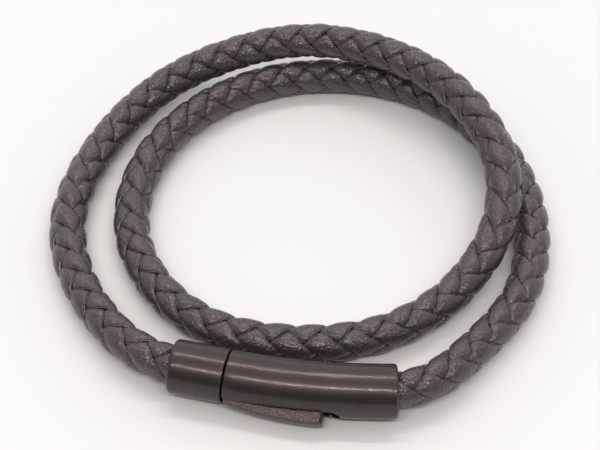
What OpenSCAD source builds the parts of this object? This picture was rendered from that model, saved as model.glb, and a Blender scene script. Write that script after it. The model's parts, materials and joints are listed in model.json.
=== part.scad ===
// Braided leather bracelet: an eight-strand round cord that goes twice round the wrist,
// joined by a curved tube clasp with a spring lever.
// It lies on a surface, Z up. The origin is on that surface, under the middle of its box.

/* [Braided cord] */
// Diameter of the cord over the crowns of its scales
cord_d = 6; // [5.9:0.05:6.05]
// Length of one scale along the cord
scale_l = 4.75; // [4.6:0.05:5]
// Width of a leather strand, as a share of the lattice cell that it fills
strand_fill = 0.94; // [0.86:0.01:0.95]
// Thickness of a leather strand
strand_t = 0.54; // [0.4:0.02:0.54]
// Height of one layer of the weave
layer_h = 0.62; // [0.6:0.01:0.64]
// How far the middle of a scale stands above its edges
crown_h = 0.2; // [0:0.05:0.3]
// Turn of the braid about the cord's own line
braid_turn = 0; // [-45:5:45]

/* [Clasp] */
// Outside diameter of the clasp's tube
clasp_d = 8.25; // [8:0.05:8.5]
// Length of the short half
cap_l = 8.5; // [8:0.25:9.5]
// Length of the long half, along its bend
barrel_l = 25.3; // [25:0.1:26]
// Radius of the long half's bend
bend_r = 100; // [95:5:110]
// Width of the seam between the halves
seam_w = 0.2; // [0.15:0.05:0.3]
// Rounding of the short half's outer corner
cap_round = 0.7; // [0.3:0.1:0.8]
// Bevel of the long half's outer edge
barrel_edge = 0.3; // [0.2:0.05:0.4]
// Diameter of the bores that the cord is glued into
glue_bore_d = 6.5; // [6.3:0.05:6.6]
// Depth of those bores
glue_bore_l = 6.2; // [5:0.1:6.2]

/* [Lever] */
// Width of the lever
lever_w = 3.2; // [2.9:0.1:3.2]
// Distance from the seam to the lever's thumb end
lever_l = 15.3; // [14.8:0.1:15.4]
// Radius of the lever's back, along the clasp
lever_back_r = 44; // [40:1:50]
// Height of the lever's thumb end above the tube
lever_rise = 1.5; // [1.2:0.05:1.55]
// How far the lever faces down from the side
lever_tilt = 24; // [20:1:27]
// Width of the slot that the lever lies in
slot_w = 3.6; // [3.5:0.05:3.8]
// Distance from the seam to the slot's round end
slot_l = 17.4; // [17:0.1:17.6]
// Dip of the slot's floor, which goes along with the clasp's bend
slot_dip = 4.5; // [4:0.1:4.6]
// Distance from the seam to the pivot pin
pin_x = 6; // [5.6:0.1:6.2]
// Diameter of the pivot pin
pin_d = 0.8; // [0.7:0.05:0.8]
// Diameter of the peg that the lever's tooth holds
peg_d = 2.2; // [2.1:0.05:2.25]
// Length of the peg
peg_l = 4.6; // [4:0.1:4.7]

/* [Hidden] */

leather = [0.34, 0.30, 0.31];
gunmetal = [0.36, 0.31, 0.29];
bright_steel = [0.62, 0.60, 0.58];

$fn = 72;
tiny = 0.01;

// Place of the clasp: the middle of its seam, and the way the short half runs into the long one
seam_at = [-10.75, -31.1, clasp_d / 2];
seam_turn = -13.5;

// The cord's two ends run straight out of their bores: inside is how deep the cord goes in, and
// apart is the distance between the points in line with a bore
function way(turn) = [cos(turn), sin(turn), 0];
barrel_sweep = barrel_l / bend_r * 180 / PI;
barrel_turn = seam_turn + barrel_sweep;
bend_mid = seam_at + bend_r * way(seam_turn + 90);
barrel_mouth = bend_mid - bend_r * way(barrel_turn + 90);
cap_mouth = seam_at - cap_l * way(seam_turn);
inside = glue_bore_l - 0.2;
apart = 10.5;

// Cord's route between them, clockwise twice round: it steers a smooth curve that passes close
// by each point. The first round lies on the second at the right, where it crosses to the inside.
low = cord_d / 2;
laid = [
    [-31, -19, low], [-36, -9, low], [-37.5, 2, low], [-34.5, 13, low],
    [-29.5, 23, low], [-21.5, 31, 4.7], [-11, 35, 6.7], [0, 36.5, 8.7],
    [11, 34, 9.2], [21, 28, 9.7], [28, 19.5, 9.7], [32.5, 9.5, 8.7],
    [32.5, -2, 7.2], [27, -11.5, 3.7], [19, -19.5, low], [9, -24, low],
    [-2.5, -24.5, low], [-13.5, -22, low], [-22, -14.5, low], [-27, -4, low],
    [-27, 7, low], [-23, 18, low], [-15.5, 26.5, low], [-5.5, 32, low],
    [5.5, 33.5, low], [17, 31.5, low], [26.5, 25.5, low], [33, 16.5, low],
    [36.5, 5.5, low], [37, -5.5, low], [34, -16.5, low], [26.5, -25, low]
];
route = concat(
    [for (i = [-1 : 1]) cap_mouth + (inside - i * apart) * way(seam_turn)],
    laid,
    [for (i = [1 : -1 : -1]) barrel_mouth - (inside - i * apart) * way(barrel_turn)]
);
steps = 12;

// Uniform cubic spline through the route, as a list of points
function spline_at(i, t) =
    ((1 - t) ^ 3 * route[i]
    + (3 * t ^ 3 - 6 * t ^ 2 + 4) * route[i + 1]
    + (3 * t + 3 * t ^ 2 - 3 * t ^ 3 + 1) * route[i + 2]
    + t ^ 3 * route[i + 3]) / 6;

line = [
    for (i = [0 : len(route) - 4]) for (j = [0 : steps - 1]) spline_at(i, j / steps),
    spline_at(len(route) - 4, 1)
];
last = len(line) - 1;

// Length of the line up to each of its points
run = [
    for (i = 0, sum = 0; i <= last; sum = sum + norm(line[min(i + 1, last)] - line[i]), i = i + 1)
        sum
];
cord_l = run[last];

function along(axis) = [for (i = [0 : last]) [run[i], line[i][axis]]];
along_x = along(0);
along_y = along(1);
along_z = along(2);

function cord_at(s) = [lookup(s, along_x), lookup(s, along_y), lookup(s, along_z)];
function unit(v) = v / norm(v);
function heading(s) = unit(cord_at(s + 0.8) - cord_at(s - 0.8));

// Weave. Two families of four strands wind round the cord in opposite ways, two over and two
// under, and cross on a lattice with coordinates u and v. One unit of either is an eighth of a
// turn and half a scale along the cord. A strand's rings lie midway between its crossings, so
// each crossing is one plain link. The heights of a ring's two edges, in layers, repeat every
// four rings, and keep the crossing strands a layer apart. Where an edge dives under, it is cut
// back by hidden_cut, down the same slope, to clear the strand beside it.
hidden_cut = 0.14;
dive = hidden_cut / strand_fill - 0.5;
edge_plus = [1.5, dive, -1.5, 0.5];
edge_minus = [1.5, 0.5, -1.5, dive];
eighth = 45;
half_scale = scale_l / 2;
mean_r = cord_d / 2 - crown_h - 1.5 * layer_h - strand_t / 2;
half_fill = strand_fill / 2;

// How the weave lies on the cord, which twists a little as it is braided and worn. At each run
// along the cord it is shifted ahead by slip and turned by twist.
lie = [
    // run, slip, twist
    [0, -0.3, 18], [10, -0.9, 15], [20, -0.6, 8], [35, -0.8, -8], [50, -0.2, -36],
    [65, 0.2, -36], [80, -0.1, -30], [115, -0.9, -27], [125, -1.2, -20], [140, -1.2, -14],
    [155, 0.4, -4], [175, 1.5, 6], [190, 2.4, 8], [220, 3.2, 8], [235, 3, -2],
    [250, 4.3, -20], [265, 4.2, -28], [285, 3.5, -32], [310, 2.2, -24], [325, 1, 5],
    [350, 0.3, 3], [375, 1.2, 4], [390, 0.6, 4]
];
lie_slip = [for (row = lie) [row[0], row[1]]];
lie_twist = [for (row = lie) [row[0], row[2]]];
end_room = 0.75;
levels = cord_l / half_scale;

function weave_point(u, v, height) =
    let (
        woven = (u + v) * half_scale,
        s = woven + lookup(woven, lie_slip),
        turn = (u - v) * eighth + braid_turn + lookup(woven, lie_twist),
        ahead = heading(s),
        side = unit([-ahead.y, ahead.x, 0]),
        top = cross(ahead, side)
    )
    cord_at(s) + (mean_r + height) * (cos(turn) * side + sin(turn) * top);

function strand_point(left, along_u, across_v, height) =
    left ? weave_point(across_v, along_u, height) : weave_point(along_u, across_v, height);

function wrap4(n) = (n % 4 + 4) % 4;

// One strand: four corners to a ring, and a raised middle on the rings that top a scale
module strand(left, n) {
    first = ceil(end_room - n - 0.5);
    count = floor(levels - end_room - n - 0.5) - first + 1;
    phase = [for (i = [0 : count - 1]) wrap4(first + i - n - (left ? 1 : 0))];
    first_crown = wrap4(-phase[0]);
    crowns = [for (i = [first_crown : 4 : count - 1]) i];
    corners = [
        for (i = [0 : count - 1]) for (corner = [[-1, 1], [1, 1], [1, -1], [-1, -1]])
            let (
                edge = corner[0],
                skin = corner[1] * strand_t / 2,
                layer = (edge > 0 ? edge_plus : edge_minus)[phase[i]],
                reach = layer == dive ? half_fill - hidden_cut : half_fill
            )
            strand_point(left, first + i + 0.5, n + edge * reach, layer * layer_h + skin)
    ];
    middles = [
        for (i = crowns)
            strand_point(left, first + i + 0.5, n, 1.5 * layer_h + strand_t / 2 + crown_h)
    ];
    function crown_of(i) = 4 * count + (i - first_crown) / 4;
    links = [
        for (i = [0 : count - 2])
            let (a = 4 * i, b = a + 4)
            each concat(
                phase[i] == 0
                    ? [[a, b, b + 1], [a, b + 1, crown_of(i)], [crown_of(i), b + 1, a + 1]]
                    : phase[i + 1] == 0
                        ? [[a, b, crown_of(i + 1)], [a, crown_of(i + 1), b + 1], [a, b + 1, a + 1]]
                        : [[a, b, b + 1], [a, b + 1, a + 1]],
                [
                    [a + 3, b + 2, b + 3], [a + 3, a + 2, b + 2],
                    [a + 1, b + 1, b + 2], [a + 1, b + 2, a + 2],
                    [a, b + 3, b], [a, a + 3, b + 3]
                ]
            )
    ];
    z = 4 * (count - 1);
    start = phase[0] == 0
        ? [[0, crown_of(0), 3], [crown_of(0), 1, 2], [crown_of(0), 2, 3]]
        : [[0, 1, 2], [0, 2, 3]];
    stop = phase[count - 1] == 0
        ? [
            [z + 3, crown_of(count - 1), z],
            [z + 2, z + 1, crown_of(count - 1)],
            [z + 3, z + 2, crown_of(count - 1)]
        ]
        : [[z + 2, z + 1, z], [z + 3, z + 2, z]];
    faces = concat(links, start, stop);
    color(leather)
    polyhedron(
        points = concat(corners, middles),
        faces = left ? faces : [for (f = faces) [f[2], f[1], f[0]]]
    );
}

// Clasp's own frame: X from the seam along the long half, Y towards the wrist, Z up
module at_seam() {
    translate(seam_at)
        rotate([0, 0, seam_turn])
            children();
}

// Lever's frame: Z out through the slot, X as above but turned a little to go with the bend
module at_lever() {
    at_seam()
        rotate([90 + lever_tilt, 0, 0])
            rotate([0, 0, -bend_skew])
                children();
}

// A place along the long half's bend, in the clasp's frame
module at_bend(length) {
    translate([0, bend_r, 0])
        rotate([0, 0, length / bend_r * 180 / PI])
            translate([0, -bend_r, 0])
                children();
}

// Sweeps a section along the long half's bend, X of the section being out from the bend
module along_bend(from, to) {
    at_bend(from)
        translate([0, bend_r, 0])
            rotate([0, 0, -90])
                rotate_extrude(angle = (to - from) / bend_r * 180 / PI, $fn = 360)
                    translate([bend_r, 0])
                        children();
}

// What rounding a square corner takes off it, seen from the middle of the arc
module corner_waste(r) {
    difference() {
        square(r + tiny);
        circle(r);
    }
}

// What a bevel takes off the edge of a clasp end that lies at x = 0 and faces along X
module bevel_waste(bevel) {
    rotate([0, 90, 0])
        rotate_extrude()
            translate([clasp_d / 2, 0])
                polygon([[bevel, -2 * bevel], [bevel, bevel], [-2 * bevel, bevel]]);
}

seam_edge = 0.15;
fit_gap = 0.05;
bend_skew = atan(slot_l / (2 * bend_r) * sin(lever_tilt));
peg_bore_l = peg_l + 0.4;
groove_from = 0.7;
groove_to = 2.5;
groove_deep = 0.4;

// Half of the short half's section, from the seam outwards
module cap_section() {
    length = cap_l - seam_w / 2;
    r = clasp_d / 2;
    difference() {
        square([r, length]);
        translate([r - cap_round, length - cap_round])
            corner_waste(cap_round);
        translate([r - seam_edge, seam_edge])
            mirror([0, 1])
                corner_waste(seam_edge);
    }
}

// Short half, with the peg that goes into the long half
module end_cap() {
    color(gunmetal)
    at_seam()
        difference() {
            union() {
                translate([-seam_w / 2, 0, 0])
                    rotate([0, -90, 0])
                        rotate_extrude()
                            cap_section();
                translate([-1, 0, 0])
                    rotate([0, 90, 0])
                        cylinder(d = peg_d, h = peg_l + 1);
            }
            translate([-cap_l - 1, 0, 0])
                rotate([0, 90, 0])
                    cylinder(d = glue_bore_d, h = glue_bore_l + 1);
            translate([groove_from, 0, 0])
                rotate([0, 90, 0])
                    difference() {
                        cylinder(d = peg_d + 1, h = groove_to - groove_from);
                        translate([0, 0, -1])
                            cylinder(d = peg_d - 2 * groove_deep, h = groove_to - groove_from + 2);
                    }
        }
}

slot_floor = 1.7;
slot_end_r = slot_w / 2;
window_w = 2.6;

// Long half: a bent tube, bored for the peg and for the cord, with the lever's slot
module barrel() {
    color(gunmetal)
    difference() {
        at_seam()
            along_bend(seam_w / 2, barrel_l)
                circle(d = clasp_d);
        at_seam()
            at_bend(seam_w / 2)
                rotate([0, 0, 180])
                    bevel_waste(seam_edge);
        at_seam()
            at_bend(barrel_l)
                bevel_waste(barrel_edge);
        at_seam()
            translate([-1, 0, 0])
                rotate([0, 90, 0])
                    cylinder(d = peg_d + 2 * fit_gap, h = peg_bore_l + 1);
        at_seam()
            at_bend(barrel_l)
                translate([-glue_bore_l, 0, 0])
                    rotate([0, 90, 0])
                        cylinder(d = glue_bore_d, h = glue_bore_l + 1);
        at_lever()
            rotate([0, slot_dip, 0])
                translate([0, 0, slot_floor])
                    linear_extrude(clasp_d)
                        slot_plan();
        at_lever()
            translate([groove_from, -window_w / 2, 0])
                cube([groove_to - groove_from, window_w, slot_floor + 1]);
        at_lever()
            pin_shape(0);
    }
}

// Slot seen from outside: square at the seam, round at its far end
module slot_plan() {
    translate([-1, -slot_w / 2])
        square([slot_l - slot_end_r + 1, slot_w]);
    translate([slot_l - slot_end_r, 0])
        circle(slot_end_r);
}

pin_z = 2.5;
pin_l = 5.2;

module pin_shape(extra) {
    translate([pin_x, pin_l / 2, pin_z])
        rotate([90, 0, 0])
            cylinder(d = pin_d + 2 * extra, h = pin_l);
}

// Pin that the lever turns on, pressed into the long half across its slot
module pivot_pin() {
    color(bright_steel)
    at_lever()
        pin_shape(0);
}

lever_under = 1.95;
lever_start = 0.35;
tooth_from = 1;
tooth_to = 2.2;
tooth_w = 2;
tooth_reach = 0.8;
tooth_root = 0.4;
thumb_round = 0.8;

// Back of the lever: a tube as round as the clasp, bent so that it leaves the clasp's surface
// at the seam and stands lever_rise above it at the thumb end
fall = lever_l ^ 2 / (2 * bend_r) * cos(lever_tilt);
back_slope = atan((lever_rise - fall) / lever_l) + asin(lever_l / (2 * lever_back_r));

module lever_back() {
    rotate([0, -back_slope, 0])
        translate([0, 0, -lever_back_r])
            rotate([90, 0, 0])
                rotate([0, 0, 60])
                    rotate_extrude(angle = 60, $fn = 360)
                        translate([lever_back_r, 0])
                            circle(d = clasp_d);
}

// Lever: its tooth drops into the peg's groove, its thumb end stands clear of the slot's floor
module lever() {
    color(gunmetal)
    at_lever()
        difference() {
            union() {
                intersection() {
                    lever_back();
                    translate([lever_start, 0, lever_under])
                        linear_extrude(clasp_d)
                            lever_plan();
                }
                translate([tooth_from, -tooth_w / 2, tooth_reach])
                    cube([tooth_to - tooth_from, tooth_w, lever_under - tooth_reach + tooth_root]);
            }
            pin_shape(fit_gap);
        }
}

// Lever seen from outside, with its thumb end rounded
module lever_plan() {
    length = lever_l - lever_start;
    difference() {
        translate([0, -lever_w / 2])
            square([length, lever_w]);
        for (side = [-1, 1])
            translate([length - thumb_round, side * (lever_w / 2 - thumb_round)])
                mirror([0, side < 0 ? 1 : 0])
                    corner_waste(thumb_round);
    }
}

strand(false, 0);  // strand_right_1
strand(false, 1);  // strand_right_2
strand(false, 2);  // strand_right_3
strand(false, 3);  // strand_right_4
strand(true, 0);  // strand_left_1
strand(true, 1);  // strand_left_2
strand(true, 2);  // strand_left_3
strand(true, 3);  // strand_left_4
end_cap();
barrel();
lever();
pivot_pin();
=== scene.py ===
"""Looks of a braided leather bracelet: eight leather strands braided round, a brushed tube clasp
with a press lever, and a plain pale studio. Run as a script. Sizes are in metres."""

import json
import math

import bmesh
import bpy
import numpy as np
from bpy.props import FloatProperty, FloatVectorProperty, IntProperty, PointerProperty
from mathutils import Vector
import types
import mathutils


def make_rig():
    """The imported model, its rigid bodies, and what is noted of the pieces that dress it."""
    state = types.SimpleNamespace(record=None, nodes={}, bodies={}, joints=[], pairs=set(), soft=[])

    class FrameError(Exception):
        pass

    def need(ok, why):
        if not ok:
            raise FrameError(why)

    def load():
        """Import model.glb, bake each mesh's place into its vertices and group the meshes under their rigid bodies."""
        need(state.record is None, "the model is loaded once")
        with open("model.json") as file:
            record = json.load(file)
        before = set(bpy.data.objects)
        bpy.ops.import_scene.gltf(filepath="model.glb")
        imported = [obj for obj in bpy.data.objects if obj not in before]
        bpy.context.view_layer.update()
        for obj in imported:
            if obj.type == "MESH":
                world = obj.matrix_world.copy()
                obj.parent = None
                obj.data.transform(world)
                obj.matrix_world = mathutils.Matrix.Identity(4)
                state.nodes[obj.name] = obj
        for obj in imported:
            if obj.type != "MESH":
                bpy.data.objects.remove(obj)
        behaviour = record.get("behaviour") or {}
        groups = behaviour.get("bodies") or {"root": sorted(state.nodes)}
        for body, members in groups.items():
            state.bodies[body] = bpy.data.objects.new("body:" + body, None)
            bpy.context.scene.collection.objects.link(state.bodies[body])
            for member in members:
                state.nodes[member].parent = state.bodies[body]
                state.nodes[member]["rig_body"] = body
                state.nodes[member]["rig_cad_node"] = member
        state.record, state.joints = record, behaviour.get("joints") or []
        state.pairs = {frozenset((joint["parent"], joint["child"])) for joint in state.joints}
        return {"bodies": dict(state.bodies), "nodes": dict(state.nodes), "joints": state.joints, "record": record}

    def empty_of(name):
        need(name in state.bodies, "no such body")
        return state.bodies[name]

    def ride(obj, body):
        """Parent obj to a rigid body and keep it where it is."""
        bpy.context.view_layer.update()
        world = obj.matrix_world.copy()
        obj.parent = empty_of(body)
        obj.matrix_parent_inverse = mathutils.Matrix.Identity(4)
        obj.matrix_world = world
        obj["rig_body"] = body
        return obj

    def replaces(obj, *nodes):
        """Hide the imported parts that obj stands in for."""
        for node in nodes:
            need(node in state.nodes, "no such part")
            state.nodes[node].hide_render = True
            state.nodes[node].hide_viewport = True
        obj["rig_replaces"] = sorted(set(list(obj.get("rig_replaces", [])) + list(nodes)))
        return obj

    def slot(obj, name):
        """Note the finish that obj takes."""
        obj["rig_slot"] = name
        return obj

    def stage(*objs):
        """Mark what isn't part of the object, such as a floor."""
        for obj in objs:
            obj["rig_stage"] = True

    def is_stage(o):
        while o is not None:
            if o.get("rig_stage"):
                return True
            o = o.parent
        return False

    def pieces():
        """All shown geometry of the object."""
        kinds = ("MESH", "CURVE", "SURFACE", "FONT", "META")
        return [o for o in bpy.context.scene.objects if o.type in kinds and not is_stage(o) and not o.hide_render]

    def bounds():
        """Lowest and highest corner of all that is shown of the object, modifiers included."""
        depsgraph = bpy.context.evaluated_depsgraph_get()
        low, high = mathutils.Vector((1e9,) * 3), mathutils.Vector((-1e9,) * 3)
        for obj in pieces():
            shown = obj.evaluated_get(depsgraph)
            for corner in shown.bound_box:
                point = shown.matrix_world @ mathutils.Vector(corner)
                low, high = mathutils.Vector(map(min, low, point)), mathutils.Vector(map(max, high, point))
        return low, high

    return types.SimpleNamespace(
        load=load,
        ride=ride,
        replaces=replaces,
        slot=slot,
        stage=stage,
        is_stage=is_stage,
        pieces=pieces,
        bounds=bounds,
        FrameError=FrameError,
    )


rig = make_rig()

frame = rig.load()
cad_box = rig.bounds()

bl_info = {
    "name": "Braided Leather Bracelet",
    "version": (1, 0, 0),
    "blender": (4, 5, 0),
    "location": "View3D > Sidebar > Bracelet",
    "description": "A round braided leather cord worn in two rounds, with a brushed tube clasp",
    "category": "Object",
}

MM = 0.001
CORD_BODY = "bracelet"
LEVER_BODY = "lever"

# The clasp's place on the surface, as the solids have it
CLASP_D = 8.25 * MM
CAP_L = 8.5 * MM
BARREL_L = 25.3 * MM
BEND_R = 100 * MM
SEAM_AT = np.array([-10.75 * MM, -31.1 * MM, CLASP_D / 2])
SEAM_TURN = math.radians(-13.5)
CORD_INSIDE = 6.0 * MM
STRAIGHT_STEP = 10.5 * MM

# Half of the stretch of cord that its direction is taken over
DIRECTION_REACH = 0.8 * MM

# Least room that the strands leave at each end of the cord, in half scales, as the solids do
END_ROOM = 0.75

# How much closer than evenly a strand's rings stand where it dives, as a share
RING_CROWDING = 0.4

# How steeply a float's share falls at its ends, as a multiple of the cosine
FLOAT_STEEPNESS = 1.7

# Height of a float's middle over the weave's mean radius, in steps, before its crown and
# before EARLY_DIVE
TOP_LEVEL = 1.5

# Power of the sine that keeps a strip's lean and arch to the ends of its floats
LEAN_POWER = 5

# Taken off the cosine of the phase, so that a strip dives a little before the cell's edge
EARLY_DIVE = 0.10

# How much wider a strip gets where it runs under, as a share, which closes the braid's corners
HIDDEN_SPREAD = 0.24

# How much of a scale's crown is gone one cell from its middle, growing by the square
PILLOW = 0.45

# How unevenly the strips lie: in width as a share, in place across in cells, and in height
UNEVEN_WIDTH = 0.02
UNEVEN_PLACE = 0.01
UNEVEN_HEIGHT = 0.03 * MM

# A strip's section: points over its top, how much is cut off its lower corners, and where
# across the points of its lower face are
TOP_POINTS = 13
FOOT = 0.06 * MM
UNDER_AT = 0.55

# The edge mark at a strip's outermost top points. It is 1 on the sides, which are the pale rim.
RIM_MARK = 0.9

# How far apart the strands lie in their UV map, so that neighbours have different wrinkles
STRIP_APART = 0.5
FAMILY_APART = 2.0

# First seed of the strands, and how far apart the two families' seeds are
SEED = 100
FAMILY_SEED = 10

# The leather's texture: features to the metre, all ways or along and across a strip, and the
# depth of its grain
PEBBLES = 2500.0
FINE_GRAIN = 4600.0
WRINKLES = (2300.0, 800.0, 1.0)
MOTTLE = 420.0
PATCHES = (160.0, 90.0, 1.0)
GRAIN_DEPTH = 0.115 * MM

# The clasp's texture: features to the metre, along the clasp and up it or all ways, and the
# depths of its brushing, its coat's specks and its blasted flanks
HAIRS = (16000.0, 260.0, 1.0)
LINES = (3200.0, 110.0, 1.0)
CLOUDS = 160.0
COAT_SPECKS = 4400.0
FLANK_SPECKS = 4200.0
FLANK_GRIT = 5200.0
BRUSH_DEPTH = 0.012 * MM
SPECK_DEPTH = 0.014 * MM
BLAST_DEPTH = 0.05 * MM

# Weight of the clear coat over the brushed metal
COAT = 0.45

# How the copies of the metal nodes are cleaned: vertices closer than WELD are merged, faces
# that meet at less than FLAT are joined, edges over SHARP are shaded sharp, and those over
# BEVELLED get a bevel
WELD = 0.0005 * MM
FLAT = math.radians(0.6)
SHARP = math.radians(28)
BEVELLED = math.radians(35)

# A face of the lever is a flank when the cosine between its normal and the hinge is over this
FLANK_SQUARE = 0.9

# The strip lights, on an arc over the clasp: name, angle from level in front, width and power
# of each, and the distance, length and colour of both
STRIPS = (
    ("overhead_strip", math.radians(111), 0.026, 2.0),
    ("front_strip", math.radians(60), 0.022, 3.4),
)
STRIP_FAR = 0.9
STRIP_L = 0.8
STRIP_TONE = (1.0, 0.93, 0.87)

# Tint of the air's light, the camera's sensor in mm and its nearest distance, and half of the
# floor's width
AIR_TONE = (0.98, 0.99, 1.0, 1.0)
SENSOR = 36
NEAREST = 0.01
FLOOR_HALF = 2.0

# The cord's route between its two bores, clockwise twice round. A smooth curve passes close by
# each point. LOW is the cord's middle where it lies on the surface.
LOW = 3.0
LAID = [
    (-31, -19, LOW), (-36, -9, LOW), (-37.5, 2, LOW), (-34.5, 13, LOW),
    (-29.5, 23, LOW), (-21.5, 31, 4.7), (-11, 35, 6.7), (0, 36.5, 8.7),
    (11, 34, 9.2), (21, 28, 9.7), (28, 19.5, 9.7), (32.5, 9.5, 8.7),
    (32.5, -2, 7.2), (27, -11.5, 3.7), (19, -19.5, LOW), (9, -24, LOW),
    (-2.5, -24.5, LOW), (-13.5, -22, LOW), (-22, -14.5, LOW), (-27, -4, LOW),
    (-27, 7, LOW), (-23, 18, LOW), (-15.5, 26.5, LOW), (-5.5, 32, LOW),
    (5.5, 33.5, LOW), (17, 31.5, LOW), (26.5, 25.5, LOW), (33, 16.5, LOW),
    (36.5, 5.5, LOW), (37, -5.5, LOW), (34, -16.5, LOW), (26.5, -25, LOW),
]

# How the weave lies on the cord, which twists a little as it is braided and worn, as the solids
# have it: at each run along the cord, in mm, its slip ahead in mm and its twist in degrees
LIE = np.array([
    (0, -0.3, 18), (10, -0.9, 15), (20, -0.6, 8), (35, -0.8, -8), (50, -0.2, -36),
    (65, 0.2, -36), (80, -0.1, -30), (115, -0.9, -27), (125, -1.2, -20), (140, -1.2, -14),
    (155, 0.4, -4), (175, 1.5, 6), (190, 2.4, 8), (220, 3.2, 8), (235, 3, -2),
    (250, 4.3, -20), (265, 4.2, -28), (285, 3.5, -32), (310, 2.2, -24), (325, 1, 5),
    (350, 0.3, 3), (375, 1.2, 4), (390, 0.6, 4),
])


class BraidSettings(bpy.types.PropertyGroup):
    """Sizes and colours of the braided cord."""

    cord_d: FloatProperty(
        name="Cord diameter", description="Over the crowns of the scales",
        default=5.95 * MM, unit="LENGTH")
    scale_l: FloatProperty(
        name="Scale length", description="Length of one scale along the cord",
        default=4.75 * MM, unit="LENGTH")
    edge_t: FloatProperty(
        name="Edge thickness", description="Thickness of a leather strip at its skived edges",
        default=0.27 * MM, unit="LENGTH")
    belly_t: FloatProperty(
        name="Belly", description="How much further down a strip reaches under its middle",
        default=0.4 * MM, unit="LENGTH")
    layer_h: FloatProperty(
        name="Step", description="Height from a strip's edge down to the strip that goes under it",
        default=0.25 * MM, unit="LENGTH")
    crown_h: FloatProperty(
        name="Crown", description="How far a scale's middle stands above its edges",
        default=0.38 * MM, unit="LENGTH")
    rim_r: FloatProperty(
        name="Edge rounding", description="Rounding of a strip's upper edges",
        default=0.09 * MM, unit="LENGTH")
    fill: FloatProperty(
        name="Strand width", description="Share of its lattice cell that a strip fills",
        default=1.0, subtype="FACTOR", min=0.8, max=1.05)
    bulge: FloatProperty(
        name="Bulge", description="Share of a cell that a scale's open sides swell outwards",
        default=0.13, subtype="FACTOR", min=0.0, max=0.2)
    squareness: FloatProperty(
        name="Squareness", description="How long a float keeps its height before it dives",
        default=2.5, min=0.0, max=4.0)
    samples: IntProperty(
        name="Rings", description="Rings of a strand in one cell of the lattice",
        default=10, min=4, max=14)
    leather: FloatVectorProperty(
        name="Leather", description="Colour of the leather's face",
        default=(0.041, 0.034, 0.043), subtype="COLOR", min=0.0, max=1.0)
    # Painted shade: a darker leather colour laid where a strand dives under, for the shade in the braid's recesses
    leather_dive_shade: FloatVectorProperty(
        name="Leather, deep", description="Colour of the leather where it dives under",
        default=(0.034, 0.028, 0.035), subtype="COLOR", min=0.0, max=1.0)
    # The cut edges' own pale colour, which is also painted on the grain's tops as glints that stand in for light
    # sparkling on the grain
    leather_rim_and_glint: FloatVectorProperty(
        name="Cut edge", description="Colour of the strips' cut edges",
        default=(0.27, 0.225, 0.235), subtype="COLOR", min=0.0, max=1.0)


class ClaspSettings(bpy.types.PropertyGroup):
    """Finish of the clasp."""

    edge: FloatProperty(
        name="Edge softness", description="Width of the softened edges",
        default=0.11 * MM, unit="LENGTH")
    gunmetal: FloatVectorProperty(
        name="Gunmetal", description="Colour of the clasp's coating",
        default=(0.058, 0.0435, 0.0445), subtype="COLOR", min=0.0, max=1.0)
    flank: FloatVectorProperty(
        name="Lever's flanks", description="Colour of the lever's blasted flanks",
        default=(0.076, 0.059, 0.060), subtype="COLOR", min=0.0, max=1.0)
    pin_steel: FloatVectorProperty(
        name="Pin steel", description="Colour of the pivot pin",
        default=(0.45, 0.43, 0.41), subtype="COLOR", min=0.0, max=1.0)


class StudioSettings(bpy.types.PropertyGroup):
    """Camera, lights and floor."""

    elevation: FloatProperty(
        name="Camera elevation", description="Angle that the camera looks down at",
        default=math.radians(49.3), subtype="ANGLE")
    distance: FloatProperty(
        name="Camera distance", description="From the camera to the middle of the view",
        default=0.309, unit="LENGTH")
    lens: FloatProperty(
        name="Focal length", description="On a sensor 36 mm wide, in millimetres",
        default=115.26)
    look_y: FloatProperty(
        name="View centre", description="Place along Y of the middle of the view",
        default=2.0 * MM, unit="LENGTH")
    front_light: FloatProperty(
        name="Front light", description="Brightness of the air in front of the bracelet",
        default=0.20, min=0.0)
    back_light: FloatProperty(
        name="Back light", description="Brightness of the air behind the bracelet",
        default=1.16, min=0.0)
    floor_tone: FloatVectorProperty(
        name="Floor", description="Colour of the floor",
        default=(0.815, 0.82, 0.835), subtype="COLOR", min=0.0, max=1.0)


def settings():
    return bpy.context.scene.bracelet


def unit(vectors):
    """Rows of vectors, each divided by its length."""
    return vectors / np.linalg.norm(vectors, axis=-1, keepdims=True)


def way(turn):
    """Level direction at an angle from +X."""
    return np.array([math.cos(turn), math.sin(turn), 0.0])


def cord_route():
    """Points that steer the cord, from the short half's bore to the long half's. Each bore gives
    three points in line with it, so that the cord leaves it straight."""
    barrel_turn = SEAM_TURN + BARREL_L / BEND_R
    bend_mid = SEAM_AT + BEND_R * way(SEAM_TURN + math.pi / 2)
    barrel_mouth = bend_mid - BEND_R * way(barrel_turn + math.pi / 2)
    cap_mouth = SEAM_AT - CAP_L * way(SEAM_TURN)
    first = [cap_mouth + (CORD_INSIDE - i * STRAIGHT_STEP) * way(SEAM_TURN) for i in (-1, 0, 1)]
    last = [barrel_mouth - (CORD_INSIDE - i * STRAIGHT_STEP) * way(barrel_turn) for i in (1, 0, -1)]
    return np.array(first + [np.array(p) * MM for p in LAID] + last)


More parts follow.
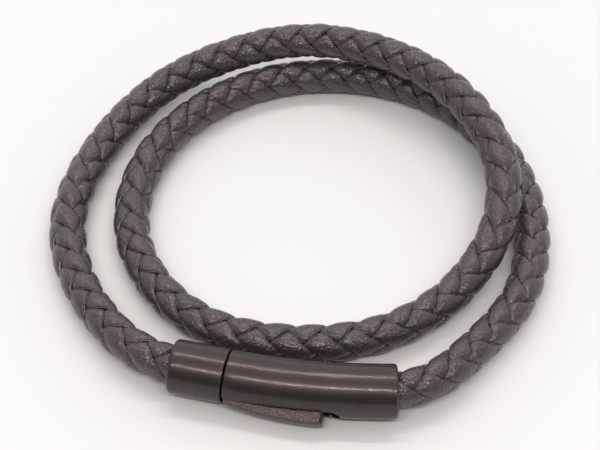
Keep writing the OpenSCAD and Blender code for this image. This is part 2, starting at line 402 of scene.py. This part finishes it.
class CordLine:
    """The cord's middle line: a uniform cubic spline through the route, looked up by the length
    run along it."""

    def __init__(self, steps=48):
        route = cord_route()
        t = np.arange(steps)[:, None] / steps
        blend = [
            (1 - t) ** 3,
            3 * t ** 3 - 6 * t ** 2 + 4,
            3 * t + 3 * t ** 2 - 3 * t ** 3 + 1,
            t ** 3,
        ]
        spans = len(route) - 3
        rows = [sum(b * route[i + k] for k, b in enumerate(blend)) / 6 for i in range(spans)]
        end = (route[-3] + 4 * route[-2] + route[-1]) / 6
        self.points = np.vstack(rows + [end[None]])
        hops = np.linalg.norm(np.diff(self.points, axis=0), axis=1)
        self.run = np.concatenate([[0.0], np.cumsum(hops)])
        self.length = self.run[-1]

    def at(self, s):
        return np.stack([np.interp(s, self.run, self.points[:, k]) for k in range(3)], axis=-1)

    def frame(self, s):
        """Ahead, outer side and top directions at the lengths s."""
        low = np.clip(s - DIRECTION_REACH, 0, self.length)
        high = np.clip(s + DIRECTION_REACH, 0, self.length)
        ahead = unit(self.at(high) - self.at(low))
        side = unit(np.stack([-ahead[..., 1], ahead[..., 0], 0 * ahead[..., 0]], axis=-1))
        return ahead, side, np.cross(ahead, side)


def float_share(phase):
    """1 over the middle of a float, falling smoothly to 0 at its ends and 0 where the strand runs
    under: the cosine of the phase, whose period is four cells, steepened, clipped and eased."""
    c = np.clip(FLOAT_STEEPNESS * np.cos(phase * math.pi / 2), 0, 1)
    return c * c * (3 - 2 * c)


def edge_level(phase, across, squareness):
    """Height of a strip's upper face before its crown, in steps: about TOP_LEVEL at a float's
    middle, and as much below the mean radius where the strand runs under. The cosine of the
    phase, a quarter turn a cell, less EARLY_DIVE, is c, and it is squared off as
    (1 + a) c / (1 + a |c|), with a the squareness. At a float's ends the strip leans and
    arches, so that it lies one step below the edge of the strip that it goes under, all along
    that edge."""

    def run(angle):
        c = np.cos(angle) - EARLY_DIVE
        return TOP_LEVEL * (1 + squareness) * c / (1 + squareness * np.abs(c))

    x = phase * math.pi / 2
    beside = (np.sign(np.sin(x)) * across + 0.5) * math.pi / 2
    arch = run(beside) + 0.5 * np.abs(np.sin(beside)) ** LEAN_POWER - 1
    return run(x) + np.abs(np.sin(x)) ** LEAN_POWER * arch


def strip_section(braid):
    """Outline of a strip's section, once round from its left edge over the top. Each point has
    its place across, from -1 to 1, how far it is set in from the edge and how far it lies below
    the upper face. The upper edges are quarter rounds with a middle point, the sides are as high
    as the skived edge, and the lower face reaches down by a parabola to the belly."""
    top = np.sin(np.linspace(-1, 1, TOP_POINTS) * math.pi / 2)
    half_way = braid.rim_r * (1 - math.sqrt(0.5))
    inset_side = [half_way, 0, 0, FOOT]
    below_side = [half_way, braid.rim_r, braid.edge_t - FOOT, braid.edge_t]
    side = np.ones(len(inset_side))
    under = np.array([UNDER_AT, -UNDER_AT])
    across = np.concatenate([top, side, under, -side])
    inset_top = np.zeros(TOP_POINTS)
    inset_top[[0, -1]] = braid.rim_r
    inset = np.concatenate([inset_top, inset_side, np.zeros(len(under)), inset_side[::-1]])
    below = np.concatenate([np.zeros(TOP_POINTS), below_side,
                            braid.edge_t + braid.belly_t * (1 - under ** 2), below_side[::-1]])
    return across, inset, below


def strand_surface(line, left, number, rng):
    """Points of one strand, a row for each ring. The strand's section is carried along the
    lattice: at u and v the cord has run (u + v) half scales and the strand stands at (u - v)
    eighths of a turn, and to these LIE's slip and twist are added. The height above the weave's
    mean radius goes by edge_level. The upper face is crowned by 1 - |across|^3 where it shows,
    and by PILLOW less towards a float's ends. A scale's open sides swell outwards, by the sine
    of the phase, and a strip that runs under is wider by HIDDEN_SPREAD. Rings stand closer
    where the strand dives. Each float is a little wider or narrower, higher or lower than the
    next, and a little to one side."""
    braid = settings().braid
    half_scale = braid.scale_l / 2
    levels = line.length / half_scale
    first = math.ceil(END_ROOM - number - 0.5) + 0.5
    last = math.floor(levels - END_ROOM - number - 0.5) + 0.5
    even = np.linspace(first, last, int((last - first) * braid.samples) + 1)[:, None]
    start = number + (1.5 if left else 0.5)
    t = even + RING_CROWDING / math.pi * np.sin((even - start) * math.pi)
    phase = t - start
    share = float_share(phase)

    knots = np.arange(math.floor(first) - 1, math.ceil(last) + 2)
    wobble, lift, shift = (np.interp(t, knots, rng.uniform(-1, 1, len(knots))) for _ in range(3))
    cell = half_scale * math.sqrt(2)
    across, inset, below = strip_section(braid)
    half = braid.fill / 2 * (1 + UNEVEN_WIDTH * wobble) * (1 + HIDDEN_SPREAD * (1 - share))
    open_side = np.maximum(-np.sign(across) * np.sin(phase * math.pi), 0) * share
    swell = 1 + 2 * braid.bulge * open_side
    w = across * half * swell - np.sign(across) * inset / cell

    from_middle = (phase + 2) % 4 - 2
    pillow = share * (1 - PILLOW * from_middle ** 2)
    crown = braid.crown_h * pillow * (1 - np.abs(across) ** 3) * (below == 0)
    height = edge_level(phase, w, braid.squareness) * braid.layer_h
    height = height + crown - below + UNEVEN_HEIGHT * lift * share

    along = t + 0 * w
    beside = number + w + UNEVEN_PLACE * shift
    u, v = (beside, along) if left else (along, beside)
    woven = (u + v) * half_scale
    s = woven + np.interp(woven / MM, LIE[:, 0], LIE[:, 1]) * MM
    turn = (u - v) * math.pi / 4 + np.radians(np.interp(woven / MM, LIE[:, 0], LIE[:, 2]))
    mean_r = braid.cord_d / 2 - braid.crown_h - TOP_LEVEL * braid.layer_h
    ahead, side, top = line.frame(s)
    radius = (mean_r + height)[..., None]
    points = line.at(s) + radius * (np.cos(turn)[..., None] * side + np.sin(turn)[..., None] * top)
    edge = np.where(inset + below > 0, 1.0, RIM_MARK * np.abs(across)) + 0 * t
    edge[:, [0, TOP_POINTS - 1]] = RIM_MARK
    return points, along * cell, w * cell, share + 0 * w, edge


def tube_faces(rings, round_count):
    """Quads of a grid whose rows close on themselves, as an array of corner numbers."""
    row = np.arange(rings - 1)[:, None] * round_count
    col = np.arange(round_count)[None, :]
    nxt = (col + 1) % round_count
    quads = np.stack([row + col, row + nxt, row + nxt + round_count, row + col + round_count], -1)
    return quads.reshape(-1, 4)


def build_mesh(name, points, quads, caps=()):
    """A mesh object from arrays: quads, and each list in caps as one many-sided face."""
    mesh = bpy.data.meshes.new(name)
    mesh.vertices.add(len(points))
    mesh.vertices.foreach_set("co", np.ascontiguousarray(points, np.float32).ravel())
    sizes = np.concatenate([np.full(len(quads), 4), [len(c) for c in caps]]).astype(np.int32)
    loops = np.concatenate([quads.ravel()] + [np.asarray(c) for c in caps]).astype(np.int32)
    starts = np.concatenate([[0], np.cumsum(sizes)[:-1]]).astype(np.int32)
    mesh.loops.add(len(loops))
    mesh.loops.foreach_set("vertex_index", loops)
    mesh.polygons.add(len(sizes))
    mesh.polygons.foreach_set("loop_start", starts)
    mesh.polygons.foreach_set("use_smooth", np.ones(len(sizes), bool))
    mesh.update(calc_edges=True)
    mesh.validate()
    piece = bpy.data.objects.new(name, mesh)
    bpy.context.scene.collection.objects.link(piece)
    return piece


def add_uv(mesh, name, u, v):
    """A UV map that gives each corner its vertex's u and v."""
    corner = np.empty(len(mesh.loops), np.int32)
    mesh.loops.foreach_get("vertex_index", corner)
    layer = mesh.uv_layers.new(name=name)
    layer.data.foreach_set("uv", np.stack([u[corner], v[corner]], -1).astype(np.float32).ravel())


def make_strand(line, left, number, material):
    """One leather strand, standing for its CAD node."""
    family = "left" if left else "right"
    node = f"strand_{family}_{number + 1}"
    rng = np.random.default_rng(SEED + FAMILY_SEED * left + number)
    points, along, across, share, edge = strand_surface(line, left, number, rng)
    rings, count = along.shape
    quads = tube_faces(rings, count)
    start = np.arange(count)
    stop = (rings - 1) * count + np.arange(count)
    if left:
        caps = (start, stop[::-1])
    else:
        quads = quads[:, ::-1]
        caps = (start[::-1], stop)
    piece = build_mesh(f"{node}_leather", points.reshape(-1, 3), quads, caps)
    own_stretch = number * STRIP_APART + left * FAMILY_APART
    add_uv(piece.data, "strip", along.ravel() + own_stretch, across.ravel())
    add_uv(piece.data, "float", share.ravel(), edge.ravel())
    piece.data.materials.append(material)
    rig.ride(piece, CORD_BODY)
    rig.replaces(piece, node)
    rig.slot(piece, "leather")


class Nodes:
    """Short calls for laying a material's nodes in a row and joining them."""

    def __init__(self, name):
        self.material = bpy.data.materials.new(name)
        self.material.use_nodes = True
        self.tree = self.material.node_tree
        self.shader = self.tree.nodes["Principled BSDF"]
        self.column = -200

    def add(self, kind, **inputs):
        node = self.tree.nodes.new(kind)
        self.column -= 180
        node.location = (self.column, 0)
        for key, value in inputs.items():
            self.put(node, key.replace("_", " "), value)
        return node

    def put(self, node, key, value):
        socket = node.inputs[key]
        if isinstance(value, bpy.types.NodeSocket):
            self.tree.links.new(value, socket)
        else:
            socket.default_value = value

    def surface(self, **inputs):
        for key, value in inputs.items():
            self.put(self.shader, key.replace("_", " "), value)

    def math(self, operation, *values):
        node = self.add("ShaderNodeMath")
        node.operation = operation
        for index, value in enumerate(values):
            self.put(node, index, value)
        return node.outputs[0]

    def ramp(self, value, low, high, to_low=0.0, to_high=1.0):
        node = self.add("ShaderNodeMapRange", Value=value)
        node.interpolation_type = "SMOOTHSTEP"
        for key, number in zip(("From Min", "From Max", "To Min", "To Max"),
                               (low, high, to_low, to_high)):
            node.inputs[key].default_value = number
        return node.outputs["Result"]

    def noise(self, vector, scale, detail=3.0, roughness=0.55):
        node = self.add("ShaderNodeTexNoise", Vector=vector, Scale=scale, Detail=detail,
                        Roughness=roughness)
        return node.outputs["Fac"]

    def cells(self, vector, scale):
        return self.add("ShaderNodeTexVoronoi", Vector=vector, Scale=scale).outputs["Distance"]

    def mix(self, share, first, second):
        """A colour between two. The node's sockets 0, 6 and 7 are its share and its colours."""
        node = self.add("ShaderNodeMix")
        node.data_type = "RGBA"
        self.put(node, 0, share)
        self.put(node, 6, first)
        self.put(node, 7, second)
        return node.outputs[2]

    def bump(self, height, strength, distance, normal=None):
        node = self.add("ShaderNodeBump", Height=height, Strength=strength, Distance=distance)
        if normal is not None:
            self.put(node, "Normal", normal)
        return node.outputs["Normal"]

    def uv(self, name):
        node = self.add("ShaderNodeUVMap")
        node.uv_map = name
        return node.outputs["UV"]

    def objects(self):
        return self.add("ShaderNodeTexCoord").outputs["Object"]

    def stretched(self, vector, scale):
        node = self.add("ShaderNodeMapping", Vector=vector)
        node.inputs["Scale"].default_value = scale
        return node.outputs["Vector"]

    def split(self, vector):
        return self.add("ShaderNodeSeparateXYZ", Vector=vector).outputs


def rgba(colour):
    return (*colour, 1.0)


def leather_material():
    """Grey-brown leather: pebbled grain and fine wrinkles that break its gloss into sparkles, soft
    mottling, painted shade where a strand dives under, painted glints on the grain's tops, and pale rims on its cut
    edges."""
    braid = settings().braid
    n = Nodes("braided_leather")
    where = n.objects()
    strip = n.uv("strip")
    share, edge, _ = n.split(n.uv("float"))

    pebbles = n.cells(where, PEBBLES)
    fine = n.noise(where, FINE_GRAIN, detail=2.0)
    wrinkle = n.noise(n.stretched(strip, WRINKLES), 1.0, detail=1.0, roughness=0.5)
    mottle = n.noise(where, MOTTLE, detail=4.0)
    patch = n.noise(n.stretched(strip, PATCHES), 1.0, detail=1.0)

    # Painted shade: deep is 0 where a strand runs under the others, and there the colour goes to the darker dive
    # colour, for the shade in the braid's recesses
    deep = n.ramp(share, 0.02, 0.6)
    tone = n.mix(deep, rgba(braid.leather_dive_shade), rgba(braid.leather))
    tone = n.mix(n.ramp(mottle, 0.35, 0.7, 0.0, 0.35), tone,
                 rgba([c * 1.5 for c in braid.leather]))
    tone = n.mix(n.ramp(patch, 0.3, 0.7, 0.0, 0.3), tone, rgba([c * 0.6 for c in braid.leather]))
    # Painted highlight: the grain's tops are mixed toward the rim colour as glints, standing in for light sparkling on
    # the grain
    painted_glint_tops = n.math("MULTIPLY", n.ramp(pebbles, 0.45, 0.15), n.ramp(fine, 0.5, 0.68))
    tone = n.mix(n.math("MULTIPLY", painted_glint_tops, 0.4), tone, rgba(braid.leather_rim_and_glint))
    worn = n.math("MULTIPLY", n.ramp(edge, 0.92, 0.99), n.ramp(mottle, 0.3, 0.6, 0.4, 0.9))
    tone = n.mix(n.math("MULTIPLY", worn, deep), tone, rgba(braid.leather_rim_and_glint))

    grain = n.math("SUBTRACT", n.math("MULTIPLY", wrinkle, 0.9), n.math("MULTIPLY", pebbles, 0.6))
    grain = n.math("ADD", grain, n.math("MULTIPLY", fine, 0.4))
    n.surface(
        Base_Color=tone,
        Roughness=n.ramp(fine, 0.3, 0.7, 0.27, 0.17),
        Normal=n.bump(grain, 1.0, GRAIN_DEPTH),
    )
    n.shader.inputs["Specular IOR Level"].default_value = 0.8
    n.shader.inputs["Specular Tint"].default_value = (1.0, 0.86, 0.91, 1.0)
    return n.material


def brushed_metal(name, colour):
    """Coated steel brushed round the tube: long scratches that vary quickly along the clasp and
    slowly round it, under a thin clear coat that a few specks break."""
    n = Nodes(name)
    along = n.uv("sweep")
    where = n.objects()
    hairs = n.noise(n.stretched(along, HAIRS), 1.0, detail=2.0, roughness=0.7)
    lines = n.noise(n.stretched(along, LINES), 1.0, detail=2.0)
    clouds = n.noise(where, CLOUDS, detail=2.0)
    tone = n.mix(n.ramp(lines, 0.3, 0.7), rgba([c * 0.92 for c in colour]),
                 rgba([min(c * 1.08, 1) for c in colour]))
    tone = n.mix(n.ramp(clouds, 0.35, 0.7, 0.0, 0.2), tone, rgba([c * 0.7 for c in colour]))
    scratch = n.math("ADD", hairs, n.math("MULTIPLY", lines, 0.5))
    specks = n.noise(where, COAT_SPECKS, detail=2.0, roughness=0.6)
    brushed = n.bump(scratch, 0.6, BRUSH_DEPTH)
    n.surface(
        Base_Color=tone,
        Roughness=n.ramp(hairs, 0.3, 0.7, 0.36, 0.44),
        Normal=brushed,
        Coat_Normal=n.bump(specks, 1.0, SPECK_DEPTH, brushed),
    )
    for key, value in (("Metallic", 1.0), ("Coat Weight", COAT), ("Coat Roughness", 0.08)):
        n.shader.inputs[key].default_value = value
    return n.material


def speckled_metal(name, colour):
    """Coated steel with a coarse blasted finish: pale specks on a darker ground."""
    n = Nodes(name)
    where = n.objects()
    specks = n.noise(where, FLANK_SPECKS, roughness=0.7)
    grit = n.cells(where, FLANK_GRIT)
    tone = n.mix(n.ramp(specks, 0.4, 0.66), rgba([c * 0.75 for c in colour]),
                 rgba([c * 1.7 for c in colour]))
    height = n.math("SUBTRACT", specks, n.math("MULTIPLY", grit, 0.4))
    n.surface(Base_Color=tone, Roughness=n.ramp(specks, 0.35, 0.65, 0.42, 0.3),
              Normal=n.bump(height, 0.8, BLAST_DEPTH))
    n.shader.inputs["Metallic"].default_value = 1.0
    return n.material


def clasp_run(points):
    """How far along the clasp each point is: along the axis before the seam, and round the bend
    after it, as the angle at the bend's middle times its radius."""
    ahead, inward = way(SEAM_TURN), way(SEAM_TURN + math.pi / 2)
    rel = points - SEAM_AT
    x, y = rel @ ahead, rel @ inward
    return np.where(x < 0, x, np.arctan2(x, BEND_R - y) * BEND_R)


def softened_copy(node, name, material, body, slot, edge):
    """A copy of a metal node with its doubled vertices merged, its flat faces joined and its
    sharp edges softened by a bevel. It stands for the node."""
    source = frame["nodes"][node]
    made = bmesh.new()
    made.from_mesh(source.data)
    bmesh.ops.remove_doubles(made, verts=made.verts, dist=WELD)
    bmesh.ops.dissolve_limit(
        made, angle_limit=FLAT, verts=made.verts, edges=made.edges,
        use_dissolve_boundaries=False, delimit=set())
    mesh = bpy.data.meshes.new(name)
    made.to_mesh(mesh)
    made.free()
    piece = bpy.data.objects.new(name, mesh)
    bpy.context.scene.collection.objects.link(piece)
    points = np.empty(len(mesh.vertices) * 3, np.float32)
    mesh.vertices.foreach_get("co", points)
    points = points.reshape(-1, 3).astype(float)
    add_uv(mesh, "sweep", clasp_run(points), points[:, 2])
    mesh.polygons.foreach_set("use_smooth", np.ones(len(mesh.polygons), bool))
    mesh.set_sharp_from_angle(angle=SHARP)
    mesh.materials.clear()
    mesh.materials.append(material)
    if edge > 0:
        bevel = piece.modifiers.new("soft_edges", "BEVEL")
        bevel.width = edge
        bevel.segments = 2
        bevel.limit_method = "ANGLE"
        bevel.angle_limit = BEVELLED
        bevel.harden_normals = True
    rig.ride(piece, body)
    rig.replaces(piece, node)
    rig.slot(piece, slot)
    return piece


class BRACELET_OT_strands(bpy.types.Operator):
    """Braid the eight leather strands"""

    bl_idname = "bracelet.strands"
    bl_label = "Braid the strands"

    def execute(self, context):
        line = CordLine()
        leather = leather_material()
        for left in (False, True):
            for number in range(4):
                make_strand(line, left, number, leather)
        return {"FINISHED"}


class BRACELET_OT_clasp(bpy.types.Operator):
    """Make the clasp's two halves and its pin"""

    bl_idname = "bracelet.clasp"
    bl_label = "Make the clasp"

    def execute(self, context):
        clasp = settings().clasp
        metal = brushed_metal("brushed_gunmetal", clasp.gunmetal)
        softened_copy("end_cap", "short_half", metal, CORD_BODY, "gunmetal", clasp.edge / 2)
        softened_copy("barrel", "long_half", metal, CORD_BODY, "gunmetal", clasp.edge)
        pin = brushed_metal("bright_pin", clasp.pin_steel)
        softened_copy("pivot_pin", "hidden_pin", pin, CORD_BODY, "pin_steel", 0)
        return {"FINISHED"}


def lever_axis():
    """Direction of the lever's hinge, square to its two flanks, as the record gives it."""
    joint = frame["record"]["behaviour"]["joints"][0]
    return np.array(joint["axis"])


class BRACELET_OT_lever(bpy.types.Operator):
    """Make the press lever"""

    bl_idname = "bracelet.lever"
    bl_label = "Make the lever"

    def execute(self, context):
        clasp = settings().clasp
        metal = brushed_metal("brushed_lever", clasp.gunmetal)
        lever = softened_copy("lever", "press_lever", metal, LEVER_BODY, "gunmetal", clasp.edge)
        lever.data.materials.append(speckled_metal("blasted_flank", clasp.flank))
        faces = lever.data.polygons
        normals = np.empty(len(faces) * 3, np.float32)
        faces.foreach_get("normal", normals)
        on_flank = np.abs(normals.reshape(-1, 3) @ lever_axis()) > FLANK_SQUARE
        faces.foreach_set("material_index", on_flank.astype(np.int32))
        return {"FINISHED"}


def strip_light(name, angle, width, power, target):
    """A soft light on the arc over the clasp: angle 0 is level in front, 90 degrees is overhead."""
    lamp = bpy.data.lights.new(name, "AREA")
    lamp.shape = "RECTANGLE"
    lamp.size = STRIP_L
    lamp.size_y = width
    lamp.energy = power
    lamp.color = STRIP_TONE
    piece = bpy.data.objects.new(name, lamp)
    bpy.context.scene.collection.objects.link(piece)
    offset = Vector((0, -math.cos(angle), math.sin(angle))) * STRIP_FAR
    piece.location = target + offset
    piece.rotation_euler = offset.to_track_quat("Z", "Y").to_euler()


def studio_air():
    """Soft light from all round: brighter from behind the bracelet than from the front."""
    world = bpy.data.worlds.new("studio_air")
    world.use_nodes = True
    tree = world.node_tree
    tree.nodes["Background"].inputs["Color"].default_value = AIR_TONE
    where = tree.nodes.new("ShaderNodeTexCoord")
    split = tree.nodes.new("ShaderNodeSeparateXYZ")
    grade = tree.nodes.new("ShaderNodeMapRange")
    tree.links.new(where.outputs["Generated"], split.inputs[0])
    tree.links.new(split.outputs["Y"], grade.inputs["Value"])
    studio = settings().studio
    for key, value in (("From Min", -1), ("From Max", 1), ("To Min", studio.front_light),
                       ("To Max", studio.back_light)):
        grade.inputs[key].default_value = value
    tree.links.new(grade.outputs["Result"], tree.nodes["Background"].inputs["Strength"])
    return world


class BRACELET_OT_stage(bpy.types.Operator):
    """Lay the pale floor and set the lights and the camera"""

    bl_idname = "bracelet.stage"
    bl_label = "Set the studio"

    def execute(self, context):
        studio = settings().studio
        scene = context.scene
        target = Vector((0, studio.look_y, 0))

        lens = bpy.data.cameras.new("photo_camera")
        lens.lens = studio.lens
        lens.sensor_width = SENSOR
        lens.clip_start = NEAREST
        camera = bpy.data.objects.new("photo_camera", lens)
        scene.collection.objects.link(camera)
        back = Vector((0, -math.cos(studio.elevation), math.sin(studio.elevation)))
        camera.location = target + back * studio.distance
        camera.rotation_euler = (math.pi / 2 - studio.elevation, 0, 0)
        scene.camera = camera

        corners = np.array([[-1, -1, 0], [1, -1, 0], [1, 1, 0], [-1, 1, 0]]) * FLOOR_HALF
        floor = build_mesh("floor", corners, np.array([[0, 1, 2, 3]]))
        paint = Nodes("pale_floor")
        paint.surface(Base_Color=rgba(studio.floor_tone), Roughness=0.6)
        floor.data.materials.append(paint.material)
        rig.stage(floor)

        for name, angle, width, power in STRIPS:
            strip_light(name, angle, width, power, target)
        scene.world = studio_air()
        scene.view_settings.view_transform = "Standard"
        return {"FINISHED"}


class BraceletSettings(bpy.types.PropertyGroup):
    """All of the bracelet's settings."""

    braid: PointerProperty(type=BraidSettings)
    clasp: PointerProperty(type=ClaspSettings)
    studio: PointerProperty(type=StudioSettings)


class BRACELET_PT_panel(bpy.types.Panel):
    """Lists the bracelet's pieces and the studio"""

    bl_idname = "BRACELET_PT_panel"
    bl_label = "Braided bracelet"
    bl_space_type = "VIEW_3D"
    bl_region_type = "UI"
    bl_category = "Bracelet"

    def draw(self, context):
        held = settings()
        for group, operator in (
            (held.braid, BRACELET_OT_strands),
            (held.clasp, BRACELET_OT_clasp),
            (None, BRACELET_OT_lever),
            (held.studio, BRACELET_OT_stage),
        ):
            box = self.layout.box()
            for key in (group.bl_rna.properties.keys() if group else ()):
                if key not in ("rna_type", "name"):
                    box.prop(group, key)
            box.operator(operator.bl_idname)


CLASSES = (
    BraidSettings,
    ClaspSettings,
    StudioSettings,
    BraceletSettings,
    BRACELET_OT_strands,
    BRACELET_OT_clasp,
    BRACELET_OT_lever,
    BRACELET_OT_stage,
    BRACELET_PT_panel,
)


def register():
    for cls in CLASSES:
        bpy.utils.register_class(cls)
    bpy.types.Scene.bracelet = PointerProperty(type=BraceletSettings)


def unregister():
    del bpy.types.Scene.bracelet
    for cls in reversed(CLASSES):
        bpy.utils.unregister_class(cls)


def main():
    register()
    bpy.ops.bracelet.stage()
    bpy.ops.bracelet.strands()
    bpy.ops.bracelet.clasp()
    bpy.ops.bracelet.lever()
    boxes = {
        "cad": [list(corner) for corner in cad_box],
        "visual": [list(corner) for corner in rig.bounds()],
    }
    with open("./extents.json", "w") as out:
        json.dump(boxes, out)


if __name__ == "__main__":
    main()
